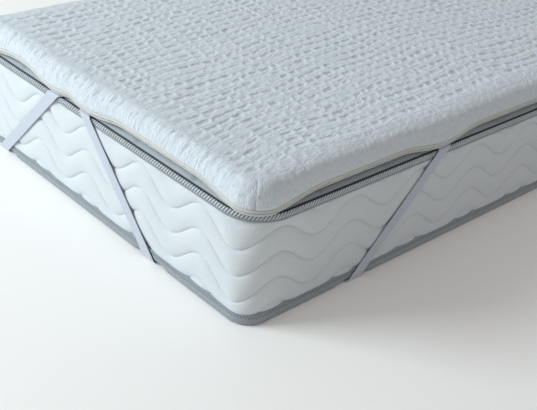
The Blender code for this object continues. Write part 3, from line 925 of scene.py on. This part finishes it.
def quilt_wave(side, share):
    """How high the stitched waves swing at places round the border, and how steeply they climb there."""
    turn = 2 * math.pi * (share * SIDE_WAVES[side] + WAVE_START)
    wavelength = run_length(side, BOTTOM_CORNER) / SIDE_WAVES[side]
    return -WAVE_HEIGHT * np.cos(turn), 2 * math.pi * WAVE_HEIGHT / wavelength * np.sin(turn)


def make_border(material):
    """Ticking round the mattress, drawn in along its stitched waves and puffed between them."""
    levels = border_levels()
    counts = (BORDER_COLUMNS * run_length(np.arange(4), TOP_CORNER) / perimeter(TOP_CORNER)).astype(int)
    side = np.repeat(np.arange(4), counts)
    share = np.concatenate([np.arange(count) / count for count in counts])
    wave, climb = quilt_wave(side, share)
    sway = ease((levels - BORDER_FOOT) / SWAY_FADE) * ease((BORDER_HEAD - levels) / SWAY_FADE)
    level = (levels + wave[:, None] * sway).T
    away = np.abs(level - np.add.outer(QUILT_LINES, wave)[:, None]).min(axis=0) / np.sqrt(1 + climb ** 2)
    up = np.clip((level - LOWER_TAPE) / (TAPE_TOP - UPPER_TAPE - LOWER_TAPE), 0, 1)
    distance = run_on(side, share, TOP_CORNER)
    drawn = 0.60 * fading(away, 0.0022) + 0.40 * bell(away, 0.011)
    pucker = noise(distance / 0.0065, level / 0.020, 51) * fading(away, 0.008)
    slack = noise(distance / 0.06, level / 0.05, 52)
    to_tape = np.minimum(level - BORDER_FOOT, BORDER_HEAD - level)
    sewn = fading(to_tape, 0.006)
    gathers = noise(distance / 0.009, level / 0.05, 53) * fading(to_tape, 0.012)
    inset = 0.0006 + 0.0050 * drawn + 0.0003 * pucker + 0.0005 * slack + 0.0022 * sewn + 0.0004 * gathers
    flat = rim(side, share, mix(BOTTOM_CORNER, TOP_CORNER, up), inset)
    # The ticking's colour gets painted shade along the stitched waves.
    piece = band("mattress_border", raised(flat, level), material, paired(distance, level),
                 painted_shade=fading(away, 0.0012), period=perimeter(TOP_CORNER))
    dress_ticking(piece)


PanelRow = namedtuple("PanelRow", "inset height steps")
PANEL_ROWS = [PanelRow(*row) for row in (
    (0.0072, -0.0160, 2),
    (0.0080, -0.0095, 2),
    (0.0102, -0.0052, 3),
    (0.0145, -0.0026, 3),
    (0.0220, -0.0012, 2),
    (0.0400, -0.0004, 1),
    (0.1000, 0.0000, 1),
)]
SEAM_SHADE = 0.0044  # how far below the panel the painted shade of its seam begins
PANEL_COLUMNS = 1100
PANEL_TUFT = 0.168  # between the stitched lines that cross the rim of the top panel


def make_top_panel(material):
    """Rolled rim and flat middle of the mattress's top, seen in the slit under the topper."""
    distance, side, share = even_stations(PANEL_COLUMNS, TOP_CORNER)
    to_corner = from_corner(side, place_on(side, share, TOP_CORNER))
    to_stitch = np.mod(to_corner, PANEL_TUFT)
    to_stitch = np.minimum(to_stitch, PANEL_TUFT - to_stitch) + 0.02 * (to_corner < PANEL_TUFT / 2)
    inset, level = smooth_rows([row[:2] for row in PANEL_ROWS], PANEL_ROWS).T[..., None]
    stitched = bell(to_stitch, 0.006) * ease((inset - 0.0088) / 0.004)
    wrinkle = 0.0004 * noise(distance / 0.012, inset / 0.02, 61)
    flat = rim_far_in(side, share, TOP_CORNER, inset, 0.75 * TOP_CORNER, 0.001 * stitched)
    rows = raised(flat, PANEL_TOP + level - 0.0024 * stitched + wrinkle)
    seam = ease((-SEAM_SHADE - level) / 0.0022)
    # Painted shade along the stitched lines, and from 1 to 2 a near-black painted shade deep in the seam.
    piece = band("mattress_top_panel", rows, material, paired(distance, inset), caps=(-1,),
                 painted_shade=stitched + 2 * seam, period=perimeter(TOP_CORNER))
    dress_ticking(piece)


BOTTOM_STEP = 0.0080
BOTTOM_QUILT = 0.090  # diamonds stitched in the underside
BOTTOM_INSET = TAPE_DEPTH - 0.0010


def make_bottom_panel(material):
    """Underside with its shallow quilting and the troughs that the straps press into it."""
    half_x, half_y = WIDTH / 2 - BOTTOM_INSET, LENGTH / 2 - BOTTOM_INSET
    lines = [np.linspace(-half, half, int(2 * half / BOTTOM_STEP)) for half in (half_x, half_y)]
    x, y = np.meshgrid(*lines, indexing="ij")
    to_stitch = [np.abs(np.mod(slant / BOTTOM_QUILT, 1) - 0.5) * BOTTOM_QUILT for slant in (x + y, x - y)]
    stitched = fading(np.minimum(*to_stitch), 0.004)
    edge = np.minimum(half_x - np.abs(x), half_y - np.abs(y))
    z = 0.0004 + 0.0016 * stitched + 0.0026 * fading(edge, 0.004)
    for corner, reach in enumerate(REACHES):
        origin, back, on = corner_axes(corner)
        crossing = fold_place(reach) + STRAP_BEND * (1 - math.pi / 4) - STRAP_OUT
        away = np.abs((paired(x, y) - origin) @ (back + on) - crossing) / math.sqrt(2)
        trough = ease(1 - (away - STRAP_WIDTH / 2 - 0.001) / 0.006)
        z = np.maximum(z, (GROOVE_DEPTH + 0.0002) * trough)
    rows = np.stack((*rounded(x, y, half_x, half_y, BOTTOM_CORNER - BOTTOM_INSET), z), axis=-1)
    # Painted shade along the stitched diamonds.
    piece = band("mattress_bottom_panel", rows, material, paired(x, y), wrap=False, painted_shade=0.6 * stitched)
    dress_ticking(piece)


# ---- straps ----

STRAP_RIBS = 12
STRAP_RIB = 0.00016  # how proud a rib stands
STRAP_STEPS = 64


def strap_path():
    """Strap's middle on one side as (inset, height, travel), from its sewn end down and under the edge."""
    straight = STRAP_HEAD - STRAP_FOOT
    inner = STRAP_BEND - STRAP_OUT
    angle = np.linspace(0, math.pi / 2, 9)
    sine, cosine, arc = STRAP_BEND * np.sin(angle), STRAP_BEND * np.cos(angle), STRAP_BEND * angle
    share = np.arange(1, STRAP_STEPS) / STRAP_STEPS
    return np.concatenate((
        [(STRAP_TUCK, STRAP_HEAD + STRAP_BEND, inner - STRAP_TUCK - arc[-1])],
        np.column_stack((inner - sine, STRAP_HEAD + cosine, arc - arc[-1])),
        np.column_stack((0 * share - STRAP_OUT, mix(STRAP_HEAD, STRAP_FOOT, share), straight * share)),
        np.column_stack((inner - cosine, STRAP_FOOT - sine, straight + arc)),
    ))


def make_strap(corner, material):
    """Ribbed elastic from the topper's edge down one side at 45 degrees, under the corner, up the next."""
    name = "strap_" + CORNERS[corner]
    path = strap_path()
    origin, back, on = corner_axes(corner)
    tangent = unit(np.gradient(path[:, :2], axis=0))
    normal = np.column_stack((tangent[:, 1], -tangent[:, 0]))
    across = np.linspace(-1, 1, 2 * STRAP_RIBS + 1)
    rib = STRAP_RIB * (np.arange(2 * STRAP_RIBS + 1) % 2)
    edge = np.where(np.abs(across) == 1, 0.25, 1.0)
    along = (REACHES[corner] - path[:, 2, None] + STRAP_WIDTH / math.sqrt(2) * across)[..., None]

    def layer(away):
        thick = away * (STRAP_THICK / 2 * edge + rib)
        place = path[:, None, :2] + normal[:, None] * thick[:, None]
        inset, level = place[..., :1], place[..., 1]
        before = raised(origin + back * along + on * inset, level)
        after = raised(origin + on * along + back * inset, level)
        return np.concatenate((before, after[::-1]))

    outer, inner = layer(1.0), layer(-1.0)
    rows = np.concatenate((outer, inner[:, ::-1]), axis=1)
    travel = travel_down((outer[:, STRAP_RIBS] + inner[:, STRAP_RIBS]) / 2)
    width = np.concatenate((across, across[::-1])) * STRAP_WIDTH / 2
    piece = band("elastic_" + name, rows, material, paired(travel[:, None], width), caps=(0, -1))
    dress(piece, name)


# ---- stage, light and camera ----

LIGHT_AIM = (0.25, -0.60, 0.15)


def make_floor():
    finish = Finish("pale_floor", roughness=0.9, specular=0.2)
    tone = finish.speckle(finish.spot(), 0.6, detail=2.0)
    finish.colour = finish.blend(tone, (0.95, 0.925, 0.91), (0.96, 0.935, 0.92))
    corners = np.array(((-14, -14, 0), (14, -14, 0), (14, 14, 0), (-14, 14, 0)), float)
    floor = new_object("floor", corners, [(0, 1, 2, 3)], finish.done())
    floor.location.z = -0.0002


def area_light(name, place, size, power):
    light = bpy.data.lights.new(name, "AREA")
    light.shape = "RECTANGLE"
    light.size, light.size_y = size
    light.energy = power
    light.color = (0.84, 0.96, 1.0)
    lamp = placed(name, light)
    lamp.location = place
    lamp.rotation_mode = "QUATERNION"
    lamp.rotation_quaternion = (Vector(LIGHT_AIM) - Vector(place)).to_track_quat("-Z", "Y")


def make_light():
    bpy.context.scene.view_settings.view_transform = "Standard"
    world = bpy.data.worlds.new("studio")
    world.use_nodes = True
    background = world.node_tree.nodes["Background"]
    background.inputs["Color"].default_value = (1.0, 0.99, 0.97, 1.0)
    background.inputs["Strength"].default_value = 0.48
    bpy.context.scene.world = world
    area_light("key", (-2.4, -3.9, 2.1), (2.3, 1.8), 175)
    area_light("above", (-2.6, -3.6, 3.2), (2.2, 1.8), 20)


CAMERA_AZIMUTH = math.radians(45.06)
CAMERA_ELEVATION = math.radians(30.575)
CAMERA_ROLL = math.radians(5.38)
CAMERA_PLACE = (1.4076, -1.9258, 1.0442)
FOCAL_PIXELS = 979.0
PICTURE_WIDTH = 537.0
SENSOR = 36.0


def make_camera():
    data = bpy.data.cameras.new("camera")
    data.sensor_width = SENSOR
    data.lens = FOCAL_PIXELS / PICTURE_WIDTH * SENSOR
    data.clip_start, data.clip_end = 0.05, 60
    place = Matrix.Translation(CAMERA_PLACE)
    for angle, axis in ((CAMERA_AZIMUTH, "Z"), (math.pi / 2 - CAMERA_ELEVATION, "X"), (CAMERA_ROLL, "Z")):
        place = place @ Matrix.Rotation(angle, 4, axis)
    camera = placed("camera", data)
    camera.matrix_world = place
    bpy.context.scene.camera = camera


def main():
    make_camera()
    make_light()
    make_floor()
    make_topper(crinkled_cover())
    cream = cream_tape()
    make_zip_tape("zip_tape_upper", UPPER_DEPTHS, 1, cream)
    make_zip_tape("zip_tape_lower", LOWER_DEPTHS, -1, cream)
    ticking = quilted_ticking("quilted_ticking", (0.595, 0.630, 0.655), (0.610, 0.640, 0.660))
    make_border(ticking)
    # The top panel's ticking is a darker copy of the border's: painted shade of the topper lying over it.
    make_top_panel(quilted_ticking("panel_ticking_painted_shade", (0.39, 0.42, 0.445), (0.41, 0.44, 0.465)))
    make_bottom_panel(ticking)
    upper = grey_edge_tape("grey_edge_tape_upper", (0.63, 0.66, 0.69), (0.13, 0.155, 0.19),
                           (0.30, 0.325, 0.35), (0.0052, 0.0300))
    # The lower tape's stripes are darker than the upper tape's: partly its own colour, partly painted shade
    # low by the floor.
    lower = grey_edge_tape("grey_edge_tape_lower", (0.34, 0.375, 0.41), (0.20, 0.225, 0.255),
                           (0.34, 0.37, 0.40), (0.0010, 0.0095))
    make_edge_tape("edge_tape_top", TOP_CORNER, REACHES, TAPE_TOP, TAPE_TOP - UPPER_TAPE, upper)
    make_edge_tape("edge_tape_bottom", BOTTOM_CORNER, fold_place(REACHES), 0.0, LOWER_TAPE, lower)
    elastic = white_elastic()
    for corner in range(len(CORNERS)):
        make_strap(corner, elastic)


main()
